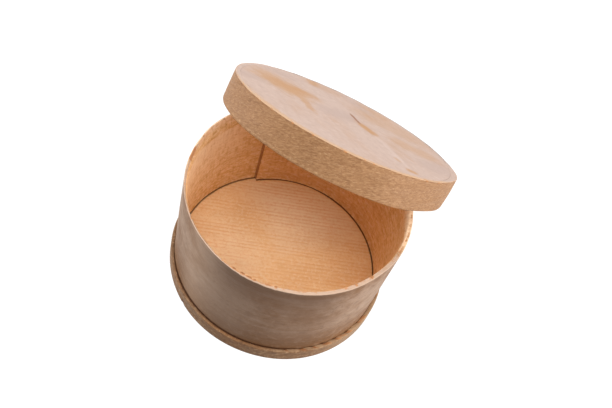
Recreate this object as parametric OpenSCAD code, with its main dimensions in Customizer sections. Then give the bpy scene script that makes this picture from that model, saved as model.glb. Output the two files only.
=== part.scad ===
// Round bentwood box with a cap lid, in millimetres.
// The wall, the foot hoop and the lid band are thin strips bent to rings and glued at a lap.
// A floor disc closes the wall at the foot, and a lid disc is set flush into the lid band.
// The lid is drawn open: it hangs over the back of the rim, with its front edge raised.
// The origin is the centre of the underside, +Z points up and +Y to the back, where the lid leans.

/* [Box wall] */
// Outer diameter of the wall
wall_d = 120; // [80:1:200]
// Height of the rim above the table
wall_h = 70.3; // [40:0.1:120]
// Thickness of the wall strip
wall_t = 2.1; // [1.6:0.1:4]
// Radius of the worn edges along the rim
rim_round = 0.6; // [0.2:0.1:0.7]

/* [Wall lap] */
// Direction of the inner end of the wall strip, counted from +X
lap_angle = 133.5; // [110:0.5:160]
// Angle over which the strip draws in from the wall to its inner end
lap_arc = 88; // [60:1:110]
// How far the inner end stands proud of the wall inside the box
lap_step = 1.8; // [0.8:0.1:2.4]
// Angle by which the outer end of the strip overlaps the inner end
lap_overlap = 38; // [20:1:50]

/* [Floor disc] */
// Thickness of the floor disc
floor_t = 4.2; // [2.5:0.1:8]
// Bevel round the upper edge of the floor disc
floor_bevel = 0.9; // [0.3:0.1:1.5]
// Glue line between the floor disc and the wall
floor_fit = 0.1; // [0.05:0.05:0.3]

/* [Foot hoop] */
// Height of the foot hoop
hoop_h = 9.2; // [5:0.1:20]
// Thickness of the hoop strip
hoop_t = 1.9; // [1.4:0.1:4]
// Radius of the worn upper edge of the hoop
hoop_round = 0.8; // [0.2:0.1:1.2]
// Glue line between the hoop and the wall
hoop_fit = 0.1; // [0.05:0.05:0.3]

/* [Lid] */
// Height of the lid band
lid_h = 16; // [12:0.1:30]
// Thickness of the lid band
lid_band_t = 2.8; // [1.6:0.1:4]
// Radius of the worn edges of the lid band
lid_round = 0.6; // [0.2:0.1:0.7]
// Room between the wall and the inside of the lid band, on the radius
lid_fit = 1; // [0.5:0.1:2]
// Thickness of the lid disc
lid_disc_t = 5.5; // [3:0.1:8]
// Bevel round the upper edge of the lid disc
lid_bevel = 0.4; // [0.2:0.1:1]
// Glue line between the lid disc and the lid band
lid_disc_fit = 0.1; // [0.05:0.05:0.3]

/* [Strip ends] */
// Width of the open line where the scarfed ends of a hoop or band meet
scarf_gap = 0.3; // [0.2:0.05:0.5]
// Slant of that line across the thickness of the strip
scarf_slant = 60; // [30:1:70]
// Direction of the joint in the foot hoop, counted from +X
hoop_joint = 70; // [0:1:359]
// Direction of the joint in the lid band, counted from +X
band_joint = 100; // [0:1:359]

/* [Lid at rest] */
// Slope of the open lid
lid_tilt = 34.7; // [20:0.1:45]
// Distance along the underside from the middle of the lid to the rim that it hangs on
lid_reach = 28.4; // [15:0.1:40]
// How far the open lid stands to the right of the middle
lid_side = 1.7; // [0:0.1:4]
// Room between the underside of the lid disc and the rim
rest_gap = 0.4; // [0.2:0.05:1]

/* [Hidden] */
$fn = 180;

// Radii of the box
wall_ro = wall_d / 2;
wall_ri = wall_ro - wall_t;
rim_r = min(rim_round, 0.45 * wall_t);
floor_r = wall_ri - floor_fit;
hoop_ri = wall_ro + hoop_fit;
hoop_ro = hoop_ri + hoop_t;
hoop_r = min(hoop_round, 0.6 * hoop_t);

// The strip leaves the wall's circle at lap_foot and follows a smaller circle that touches it there
lap_foot = lap_angle - lap_arc;
lap_shift = lap_step / (1 - cos(lap_arc));
// The drawn-in part is cut off where it is thinner than a shaving
shaving = 0.15;
lap_start = lap_foot + acos(1 - shaving / lap_shift);
lap_top = wall_h - rim_r;
outer_end = lap_angle - lap_overlap;

// Radii of the lid, which fits over the wall
lid_ri = wall_ro + lid_fit;
lid_ro = lid_ri + lid_band_t;
lid_r = min(lid_round, 0.45 * lid_band_t);
lid_disc_r = lid_ri - lid_disc_fit;
lid_depth = lid_h - lid_disc_t;

// Reach of the cutting shapes past what they cut
past = 1;
wedge_reach = 4 * wall_d;

// Colours of the pieces
wall_wood = "#B98E6E";
floor_wood = "#DFAA7C";
hoop_wood = "#A07E5F";
band_wood = "#B8926C";
lid_wood = "#DDC4B4";

// Flat wedge from angle a0 to angle a1, both counted from +X
module wedge(a0, a1) {
  mid = (a0 + a1) / 2;
  polygon([
    [0, 0],
    wedge_reach * [cos(a0), sin(a0)],
    wedge_reach * [cos(mid), sin(mid)],
    wedge_reach * [cos(a1), sin(a1)]
  ]);
}

// Circle of radius r less the lap's inset, placed where the drawn-in strip runs
module lap_circle(r) {
  rotate(lap_foot)
    translate([lap_shift, 0])
      circle(r = r - lap_shift);
}

// Section of a ring from radius ri to ro and height h, with its upper corners rounded
module ring_section(ri, ro, h, r_in, r_out) {
  r_max = max(r_in, r_out);
  translate([ri, 0])
    square([ro - ri, h - r_max]);
  translate([ri + r_in, 0])
    square([ro - ri - r_in - r_out, h]);
  translate([ri, 0])
    square([(ro - ri) / 2, h - r_in]);
  translate([(ro + ri) / 2, 0])
    square([(ro - ri) / 2, h - r_out]);
  if (r_in > 0)
    translate([ri + r_in, h - r_in])
      circle(r = r_in);
  if (r_out > 0)
    translate([ro - r_out, h - r_out])
      circle(r = r_out);
}

// Slanted saw line through a strip of radius ri to ro and height h, in the direction a
module scarf_line(ri, ro, h, a) {
  length = 2 * (ro - ri + past) / cos(scarf_slant);
  rotate(a)
    translate([(ri + ro) / 2, 0, h / 2])
      rotate(scarf_slant)
        cube([length, scarf_gap, h + 2 * past], center = true);
}

// Disc of radius r and thickness t, with its upper edge bevelled
module bevelled_disc(r, t, bevel) {
  rotate_extrude()
    polygon([[0, 0], [r, 0], [r, t - bevel], [r - bevel, t], [0, t]]);
}

module box_wall() color(wall_wood) {
  difference() {
    rotate_extrude()
      ring_section(wall_ri, wall_ro, wall_h, rim_r, rim_r);
    // Outside, the wall falls back beyond the strip's outer end
    translate([0, 0, -past])
      linear_extrude(wall_h + 2 * past)
        difference() {
          wedge(lap_start, outer_end);
          lap_circle(wall_ro);
        }
  }
  // Inside, the strip draws in to its inner end
  linear_extrude(lap_top)
    intersection() {
      wedge(lap_start, lap_angle);
      difference() {
        circle(r = wall_ri + wall_t / 3);
        lap_circle(wall_ri);
      }
    }
}

module box_floor() color(floor_wood)
  difference() {
    bevelled_disc(floor_r, floor_t, floor_bevel);
    // The disc is trimmed to clear the drawn-in end of the wall strip
    translate([0, 0, -past])
      linear_extrude(floor_t + 2 * past)
        difference() {
          wedge(lap_start - asin(floor_fit / wall_ri), lap_angle + asin(floor_fit / wall_ri));
          lap_circle(wall_ri - floor_fit);
        }
  }

module foot_hoop() color(hoop_wood)
  difference() {
    rotate_extrude()
      ring_section(hoop_ri, hoop_ro, hoop_h, 0, hoop_r);
    scarf_line(hoop_ri, hoop_ro, hoop_h, hoop_joint);
  }

// Places the lid's pieces, drawn about the middle of the disc's underside, where the open lid rests
module lid_place()
  translate([lid_side, wall_ro, wall_h])
    rotate([-lid_tilt, 0, 0])
      translate([0, -lid_reach, rest_gap])
        children();

module lid_band() color(band_wood)
  lid_place()
    translate([0, 0, -lid_depth])
      difference() {
        rotate_extrude()
          ring_section(lid_ri, lid_ro, lid_h, 0, lid_r);
        scarf_line(lid_ri, lid_ro, lid_h, band_joint);
      }

module lid_disc() color(lid_wood)
  lid_place()
    bevelled_disc(lid_disc_r, lid_disc_t, lid_bevel);

box_wall();
box_floor();
foot_hoop();
lid_band();
lid_disc();
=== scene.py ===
"""Looks of a round bentwood box with a loose cap lid.

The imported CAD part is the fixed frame. Each of its five wooden pieces is made again here as a finer mesh,
with worn edges, an uneven rim and strip ends, and gets a wood made of shader nodes.
Lengths are in metres, in the part's own frame. Directions round a piece are counted from +X,
so the photograph's camera stands at about -77 degrees.
"""

import math
from functools import reduce

import bpy
import numpy as np
from bpy.props import FloatProperty, FloatVectorProperty, PointerProperty
from mathutils import Matrix, Vector


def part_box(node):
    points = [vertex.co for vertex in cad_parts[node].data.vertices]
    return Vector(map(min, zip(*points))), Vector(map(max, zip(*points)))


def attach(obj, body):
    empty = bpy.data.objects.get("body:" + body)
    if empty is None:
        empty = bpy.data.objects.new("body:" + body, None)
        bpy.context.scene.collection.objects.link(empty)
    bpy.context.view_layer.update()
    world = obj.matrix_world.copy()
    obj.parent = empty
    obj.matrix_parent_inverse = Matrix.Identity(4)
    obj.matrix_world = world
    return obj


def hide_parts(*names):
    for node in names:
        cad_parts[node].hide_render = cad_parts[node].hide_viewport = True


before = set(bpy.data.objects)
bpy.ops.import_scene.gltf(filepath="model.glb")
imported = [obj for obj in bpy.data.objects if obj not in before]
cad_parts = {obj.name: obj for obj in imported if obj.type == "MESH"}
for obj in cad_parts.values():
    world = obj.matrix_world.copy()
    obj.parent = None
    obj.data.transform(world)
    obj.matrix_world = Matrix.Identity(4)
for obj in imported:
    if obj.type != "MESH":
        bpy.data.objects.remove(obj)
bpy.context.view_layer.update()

bl_info = {
    "name": "Bentwood box",
    "version": (1, 0, 0),
    "blender": (4, 5, 0),
    "location": "3D View > Sidebar > Bentwood box",
    "description": "Builds a round bentwood box with a loose lid, its woods and its stage",
    "category": "Object",
}

MM = 0.001
WALL_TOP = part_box("box_wall")[1]
HOOP_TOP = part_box("foot_hoop")[1]
FLOOR_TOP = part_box("box_floor")[1]

# Columns of points round the wall, a strip and a board
WALL_COLUMNS = 960
STRIP_COLUMNS = 720
BOARD_COLUMNS = 360

# Slant of the joint where a strip's ends meet, and the open line between them
JOINT_SLANT = math.radians(60.0)
JOINT_GAP = 0.6 * MM

# Half the distance between the two columns at a step, and the room kept clear of others there, in degrees
STEP_HALF = 0.03
STEP_ROOM = 0.2

# Edges that turn more than this stay sharp
SHARP_ANGLE = math.radians(38.0)

# Bump and shine of all the woods
BUMP_STRENGTH = 0.6
SPECULAR_LEVEL = 0.28

# Bites out of the rim: direction and half width in degrees, depth in millimetres
RIM_BITES = (
    (-171.0, 1.0, 0.25),
    (-148.0, 0.8, 0.25),
    (-128.0, 1.0, 0.30),
    (-95.0, 1.2, 0.45),
    (-90.2, 1.3, 0.60),
    (-86.8, 1.5, 0.60),
    (-83.8, 0.8, 0.50),
    (-77.5, 1.9, 0.42),
    (-73.5, 0.9, 0.50),
    (-33.5, 0.9, 0.35),
    (-24.0, 1.0, 0.45),
    (-3.0, 1.0, 0.35),
    (9.0, 1.2, 0.40),
    (21.0, 1.1, 0.35),
    (163.0, 1.0, 0.25),
    (171.5, 1.6, 0.25),
    (179.0, 1.2, 0.25),
)

# Bites out of the hoop's upper edge
HOOP_BITES = (
    (-57.0, 1.2, 0.30),
    (-48.5, 1.8, 0.40),
    (-42.0, 1.1, 0.35),
    (-35.0, 2.0, 0.45),
    (-28.5, 1.3, 0.40),
    (-21.0, 1.7, 0.40),
    (-12.0, 1.3, 0.30),
    (24.0, 1.5, 0.40),
    (150.0, 1.8, 0.30),
)
# One dent in the hoop's lower edge
HOOP_DENT = ((-120.0, 0.8, 0.25),)

# Sides that matter to two pieces: direction and half width in degrees
HOOP_OPEN = (-94.0, 60.0)
HOOP_TIGHT_RIGHT = (-8.0, 46.0)
HOOP_TIGHT_LEFT = (-172.0, 40.0)
LID_FRONT = (-80.0, 85.0)

# Marks on the lid board: colour, strength, place, turn in degrees, half length, half width, sway, raggedness
LID_MARKS = (
    ("lid_streak", 0.60, (-41.0, 1.0), 0.0, 32.0, 27.0, 12.0, 1.1),
    ("lid_streak", 0.60, (-37.0, 0.0), 20.0, 23.0, 16.0, 10.0, 1.4),
    ("lid_streak", 0.50, (-28.0, 10.0), 25.0, 15.0, 9.0, 7.0, 1.4),
    ("lid_streak", 0.55, (-20.0, -13.0), -52.0, 18.0, 5.5, 5.0, 1.3),
    ("lid_streak", 0.38, (20.0, 41.0), 10.0, 44.0, 28.0, 12.0, 0.8),
    ("lid_streak", 0.45, (38.0, 16.0), 20.0, 28.0, 16.0, 8.0, 0.9),
    ("lid_streak", 0.40, (6.0, 56.0), 0.0, 22.0, 14.0, 6.0, 0.9),
    ("lid_streak", 0.60, (-34.0, 45.0), -65.0, 13.0, 8.0, 5.0, 0.9),
    ("lid_streak", 0.30, (-28.0, 50.0), 10.0, 26.0, 18.0, 6.0, 0.9),
    ("lid_line", 0.40, (53.0, 2.0), 60.0, 24.0, 16.0, 6.0, 0.8),
    ("lid_line", 0.45, (-6.0, 4.0), 60.0, 26.0, 16.0, 8.0, 0.8),
    ("lid_line", 0.35, (-51.0, -18.0), 50.0, 18.0, 12.0, 6.0, 0.8),
    ("lid_line", 0.30, (-50.0, 24.0), 40.0, 22.0, 12.0, 6.0, 0.8),
    ("lid_line", 0.30, (-5.0, 50.0), -30.0, 24.0, 10.0, 6.0, 0.9),
    ("lid_streak", 0.75, (43.5, -33.0), 30.0, 5.5, 5.0, 2.0, 0.6),
    ("lid_streak", 0.50, (34.5, -25.0), -40.0, 4.5, 3.5, 2.0, 0.6),
    ("lid_pale", 0.55, (28.0, -13.0), -51.0, 34.0, 3.6, 3.0, 0.8),
    ("lid_streak", 0.85, (11.0, 5.0), -32.0, 14.0, 7.0, 4.0, 1.2),
)
# The crack in the lid board: place, turn, half length, half width, sway, raggedness
LID_CRACK = ((1.5, 14.0), -52.0, 13.0, 2.0, 2.0, 1.6)

# The lid isn't quite round at its right end: direction in degrees and how far out it stands in millimetres
LID_TOP_OUTLINE = ((-95.0, 0.0), (-54.0, -1.6), (-24.0, -1.4), (3.0, 1.3), (30.0, -0.5), (62.0, 0.0))
LID_FOOT_OUTLINE = (
    (-75.0, 0.0),
    (-49.0, 0.9),
    (-27.0, -0.2),
    (-12.0, 0.6),
    (4.0, 0.9),
    (32.0, -0.3),
    (60.0, 0.0),
)

# The camera at the photograph's view: its place, and its right and up directions
CAMERA_PLACE = (0.053353, -0.238401, 0.386366)
CAMERA_RIGHT = (0.86316, 0.45947, 0.20939)
CAMERA_UP = (-0.49050, 0.66457, 0.56369)

# Lamps: name, place and width. All face one point.
LAMPS = (
    ("front", (0.05, -0.40, 1.18), 0.5),
    ("front_right", (0.55, -0.60, 0.95), 0.5),
    ("upper_right", (0.80, -0.10, 0.95), 0.5),
    ("upper_left", (-0.80, -0.10, 0.95), 0.5),
    ("right", (1.20, 0.10, 0.35), 0.6),
    ("left", (-1.20, 0.10, 0.35), 0.6),
)
LAMP_TARGET = (0.0, 0.0, 0.05)

# The stage floor: half its width, its own light where it is seen, and the colour that takes the shadow there
STAGE_HALF = 2.5
STAGE_GLOW = 0.86
STAGE_SHADE = (0.22, 0.22, 0.22, 1.0)
WHITE = (1.0, 1.0, 1.0, 1.0)


def paint(code):
    """Linear colour of a code such as #D8A070."""
    shades = [int(code[i : i + 2], 16) / 255.0 for i in (1, 3, 5)]
    linear = [s / 12.92 if s <= 0.04045 else ((s + 0.055) / 1.055) ** 2.4 for s in shades]
    return (*linear, 1.0)


def length(name, description, default):
    """A length that a user may change."""
    kind = {"min": 0.0, "subtype": "DISTANCE", "unit": "LENGTH"}
    return FloatProperty(name=name, description=description, default=default, **kind)


def direction(name, description, degrees):
    """An angle that a user may change."""
    kind = {"subtype": "ANGLE", "unit": "ROTATION"}
    return FloatProperty(name=name, description=description, default=math.radians(degrees), **kind)


def colour(name, description, code):
    """A colour that a user may change."""
    kind = {"size": 4, "min": 0.0, "max": 1.0, "subtype": "COLOR"}
    return FloatVectorProperty(name=name, description=description, default=paint(code), **kind)


def power(name, description, watts):
    """The power of a lamp that a user may change."""
    return FloatProperty(name=name, description=description, default=watts, min=0.0, unit="POWER")


class BoxSizes(bpy.types.PropertyGroup):
    """Sizes of the wall, the floor and the foot hoop."""

    wall_radius: length("Wall radius", "Outer radius of the wall", WALL_TOP.x)
    wall_height: length("Wall height", "Height of the rim above the table", WALL_TOP.z)
    wall_thickness: length("Wall thickness", "Thickness of the bent wall strip", 2.1 * MM)
    lap_end: direction("Lap end", "Direction of the inner end of the wall strip", 133.5)
    lap_foot: direction("Lap foot", "Direction where the strip leaves the wall's circle", 45.5)
    lap_outer_end: direction("Outer end", "Direction of the outer end of the wall strip", 95.5)
    lap_step: length("Lap step", "How far the inner end stands proud inside", 1.8 * MM)
    floor_radius: length("Floor radius", "Radius of the floor board", 57.8 * MM)
    floor_thickness: length("Floor thickness", "Thickness of the floor board", FLOOR_TOP.z)
    hoop_radius: length("Hoop radius", "Outer radius of the foot hoop", HOOP_TOP.x)
    hoop_height: length("Hoop height", "Height of the foot hoop", HOOP_TOP.z)
    hoop_joint: direction("Hoop joint", "Direction of the scarfed joint in the hoop", 70.0)


class LidSizes(bpy.types.PropertyGroup):
    """Sizes of the lid, and where the open lid rests."""

    band_radius: length("Band radius", "Outer radius of the lid band", 63.8 * MM)
    band_height: length("Band height", "Height of the lid band", 16.0 * MM)
    band_thickness: length("Band thickness", "Thickness of the bent band", 2.8 * MM)
    band_joint: direction("Band joint", "Direction of the scarfed joint in the band", 100.0)
    disc_radius: length("Board radius", "Radius of the lid board", 60.9 * MM)
    disc_thickness: length("Board thickness", "Thickness of the lid board", 5.5 * MM)
    tilt: direction("Tilt", "Slope of the open lid", 34.7)
    reach: length("Reach", "From the lid's middle to the rim that it hangs on", 28.4 * MM)
    side: length("Side", "How far the open lid stands to the right", 1.7 * MM)
    rest_gap: length("Rest gap", "Room between the lid board and the rim", 0.4 * MM)


class WoodColours(bpy.types.PropertyGroup):
    """Colours of the woods, clean and worn."""

    outside: colour("Outside", "Wall outside, grey and handled", "#A38670")
    outside_warm: colour("Outside, warm", "Wall outside where it is browner", "#7F5836")
    outside_dark: colour("Outside, dark", "Dark streaks outside", "#5E402A")
    inside: colour("Inside", "Wall inside, clean", "#EEC28C")
    inside_dark: colour("Inside, dark", "Darker streaks inside", "#D0985B")
    inside_pale: colour("Inside, pale", "Paler fibres inside", "#FAD9B6")
    seam: colour("Seam", "Strip ends and chips, brown", "#8A4E20")
    rim: colour("Rim", "Worn pale edge of the wall", "#C2A58E")
    bare: colour("Bare wood", "Fresh wood where an edge has chipped", "#BF7F4A")
    floor: colour("Floor", "Floor board", "#F8D19D")
    floor_line: colour("Floor lines", "Grain lines of the floor board", "#EAB57D")
    floor_pale: colour("Floor, pale", "Paler fibres of the floor board", "#FEE5C2")
    hoop: colour("Hoop", "Foot hoop", "#7C5C3F")
    hoop_pale: colour("Hoop, worn", "Worn upper edge of the foot hoop", "#AE8C6B")
    band: colour("Band", "Lid band", "#A47952")
    band_fleck: colour("Band fleck", "Darker flecks of the lid band", "#815735")
    band_pale: colour("Band, pale", "Lid band where it is dry and smooth", "#B08B70")
    band_edge: colour("Band edge", "Worn edge of the lid band", "#D0A77E")
    lid: colour("Lid", "Lid board, dry and pale", "#C7AD9F")
    lid_streak: colour("Lid streak", "Tan patches of the lid board", "#BC8C5E")
    lid_line: colour("Lid line", "Greyer grain of the lid board", "#B39A90")
    lid_pale: colour("Lid, pale", "Paler fibres of the lid board", "#D2BCB2")
    grime: colour("Grime", "Dirt in joints and cracks", "#552F16")


class StageSettings(bpy.types.PropertyGroup):
    """Floor, lamps and camera."""

    floor: colour("Floor", "Pale floor under the box", "#9A9894")
    front: power("Front lamp", "Power of the lamp high in front", 3.0)
    front_right: power("Front right lamp", "Power of the lamp in front on the right", 1.7)
    upper_right: power("Upper right lamp", "Power of the lamp high on the right", 4.7)
    upper_left: power("Upper left lamp", "Power of the lamp high on the left", 6.7)
    right: power("Right lamp", "Power of the low lamp on the right", 11.0)
    left: power("Left lamp", "Power of the low lamp on the left", 6.2)
    ambient: FloatProperty(
        name="Room light",
        description="Strength of the even light of the room",
        default=0.43,
        min=0.0,
        subtype="FACTOR",
    )
    lens: FloatProperty(
        name="Lens",
        description="Focal length of the camera in millimetres",
        default=45.496,
        min=1.0,
        unit="CAMERA",
    )


def smooth_step(low, high, values):
    """Rises from 0 to 1 between low and high."""
    share = np.clip((values - low) / (high - low), 0.0, 1.0)
    return share * share * (3.0 - 2.0 * share)


def highest(*values):
    """The highest of several values, for each column."""
    return reduce(np.maximum, values)


def corner(radius, height, size, start, stop, count):
    """Points of a worn corner, an arc about (radius, height) from angle start to stop in degrees."""
    turns = np.radians(np.linspace(start, stop, count))
    return [(radius + size * np.cos(t), height + size * np.sin(t)) for t in turns]


class Ring:
    """A piece turned about Z: the directions of its columns in radians, and the rows of its section."""

    def __init__(self, angles):
        self.angles = angles
        self.rows = []

    def row(self, radius, height, **marks):
        """Adds a row of points with its marks. Rows go up outside, over the top and down inside."""
        self.rows.append((radius, height, marks))

    def between(self, start, stop):
        """True from one angle to another."""
        return (self.angles > start) & (self.angles < stop)

    def away_from(self, middle):
        """Difference from a direction in degrees, from -180 to 180."""
        return (np.degrees(self.angles) - middle + 180.0) % 360.0 - 180.0

    def side(self, middle, half_width):
        """1 in one direction, falling to 0 at half_width degrees from it."""
        return smooth_step(half_width, 0.4 * half_width, np.abs(self.away_from(middle)))

    def upright(self, middle):
        """1 along an upright line about a degree wide."""
        return np.exp(-((self.away_from(middle) / 0.5) ** 2))

    def wander(self, seed, waves, size):
        """Smooth unevenness round the ring, which meets itself."""
        dice = np.random.default_rng(seed)
        total = np.zeros_like(self.angles)
        for wave in waves:
            total += dice.uniform(0.4, 1.0) * np.cos(wave * self.angles + dice.uniform(0.0, math.tau))
        return size * total / math.sqrt(len(waves))

    def bites(self, places):
        """Depth of small bites out of an edge, in millimetres."""
        total = np.zeros_like(self.angles)
        for middle, half_width, depth in places:
            total = np.maximum(total, depth * np.exp(-((self.away_from(middle) / half_width) ** 4)))
        return total

    def outline(self, places):
        """How far an outline stands out in millimetres: smooth between the places, 0 beyond the ends."""
        total = np.zeros_like(self.angles)
        turned = self.away_from(0.0)
        for (start, low), (stop, high) in zip(places, places[1:]):
            inside = (turned >= start) & (turned < stop)
            total = np.where(inside, low + (high - low) * smooth_step(start, stop, turned), total)
        return total

    def spread(self, values):
        """One number or one array for each row, as columns by rows."""
        return np.stack([np.broadcast_to(value, len(self.angles)) for value in values], axis=1)

    def mesh(self, name, joint_slant=None, capped=False):
        """The mesh of the piece.

        A ring is closed. With joint_slant it is a strip whose two ends meet at a slanted joint.
        A capped mesh is a board: its first and last rows close in points on the axis.
        """
        count = len(self.angles)
        across = len(self.rows)
        radius = self.spread([row[0] for row in self.rows])
        height = self.spread([row[1] for row in self.rows])
        turn = np.repeat(self.angles[:, None], across, axis=1)
        if joint_slant is not None:
            middle = 0.5 * (radius.min() + radius.max())
            turn = turn + math.tan(joint_slant) * (radius - middle) / middle
        points = np.stack((radius * np.cos(turn), radius * np.sin(turn), height), axis=2).reshape(-1, 3)

        columns = np.arange(count if joint_slant is None else count - 1)[:, None]
        levels = np.arange(across - 1 if capped else across)[None, :]
        beside = (columns + 1) % count * across
        above = (levels + 1) % across
        corners = (columns * across + levels, beside + levels, beside + above, columns * across + above)
        faces = np.stack([index.ravel() for index in corners], axis=1).tolist()
        if joint_slant is not None:
            faces.append(list(range(across)))
            faces.append([(count - 1) * across + level for level in reversed(range(across))])
        if capped:
            low_point = len(points)
            ends = [[0.0, 0.0, height[:, 0].mean()], [0.0, 0.0, height[:, -1].mean()]]
            points = np.concatenate((points, np.array(ends)))
            for column in range(count):
                here = column * across
                following = (column + 1) % count * across
                faces.append([low_point, following, here])
                faces.append([low_point + 1, here + across - 1, following + across - 1])

        mesh = bpy.data.meshes.new(name)
        mesh.from_pydata(points.tolist(), [], faces)
        for mark in sorted({key for row in self.rows for key in row[2]}):
            values = self.spread([row[2].get(mark, 0.0) for row in self.rows]).ravel()
            if capped:
                values = np.concatenate((values, values[:1], values[across - 1 : across]))
            layer = mesh.attributes.new(mark, "FLOAT", "POINT")
            layer.data.foreach_set("value", values.astype(np.float32))
        if mesh.validate():
            raise RuntimeError(f"{name} has faces that can't be used")
        mesh.shade_smooth()
        mesh.set_sharp_from_angle(angle=SHARP_ANGLE)
        return mesh


def closed_ring(count, *steps):
    """A closed ring of columns, with two close ones at each step in the section, given in radians."""
    even = np.linspace(0.0, 360.0, count, endpoint=False)
    for step in np.degrees(steps):
        even = even[np.abs(even - step) > STEP_ROOM]
        even = np.concatenate((even, [step - STEP_HALF, step + STEP_HALF]))
    return Ring(np.radians(np.sort(even)))


def open_strip(joint, radius):
    """Columns along a strip, from one end at the joint round to the other."""
    half_gap = 0.5 * JOINT_GAP / radius
    return Ring(np.linspace(joint + half_gap, joint + math.tau - half_gap, STRIP_COLUMNS))


def lap_radius(ring, radius, sizes):
    """Radius of the strip where it draws in from the wall's circle towards its inner end."""
    shift = sizes.lap_step / (1.0 - math.cos(sizes.lap_end - sizes.lap_foot))
    off = ring.angles - sizes.lap_foot
    return shift * np.cos(off) + np.sqrt((radius - shift) ** 2 - (shift * np.sin(off)) ** 2)


def inner_radius(ring, radius, sizes):
    """Radius inside the wall, or inside that by a clearance, with the drawn-in end of the strip."""
    return np.where(ring.between(sizes.lap_foot, sizes.lap_end), lap_radius(ring, radius, sizes), radius)


def rim_flat(ring):
    """Width of the flat along the rim in millimetres: narrow on the left, broad in front on the right."""
    broad = highest(
        1.1 * ring.side(-42.0, 46.0),
        1.5 * ring.side(-14.0, 44.0),
        1.5 * ring.side(22.0, 46.0),
        0.35 * ring.side(-112.0, 40.0),
        0.25 * ring.side(-170.0, 60.0),
    )
    return np.clip(0.2 + broad + ring.wander(7, (9, 17, 31, 47), 0.16), 0.10, 1.6)


def rim_chips(ring):
    """How far the inner edge of the rim is rubbed to fresh wood, from 0 to 1, in ragged runs."""
    runs = smooth_step(-0.5, 0.9, ring.wander(12, (11, 19, 31, 47, 71), 1.0))
    rubbed = highest(
        0.8 * ring.side(-172.0, 76.0) * (1.0 - 0.7 * ring.side(-146.0, 30.0)),
        0.75 * ring.side(14.0, 46.0),
        ring.side(-92.0, 26.0),
        0.45 * ring.side(-45.0, 50.0),
        0.6 * ring.side(-24.0, 40.0),
    )
    return (0.35 + 0.65 * runs) * rubbed


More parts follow.
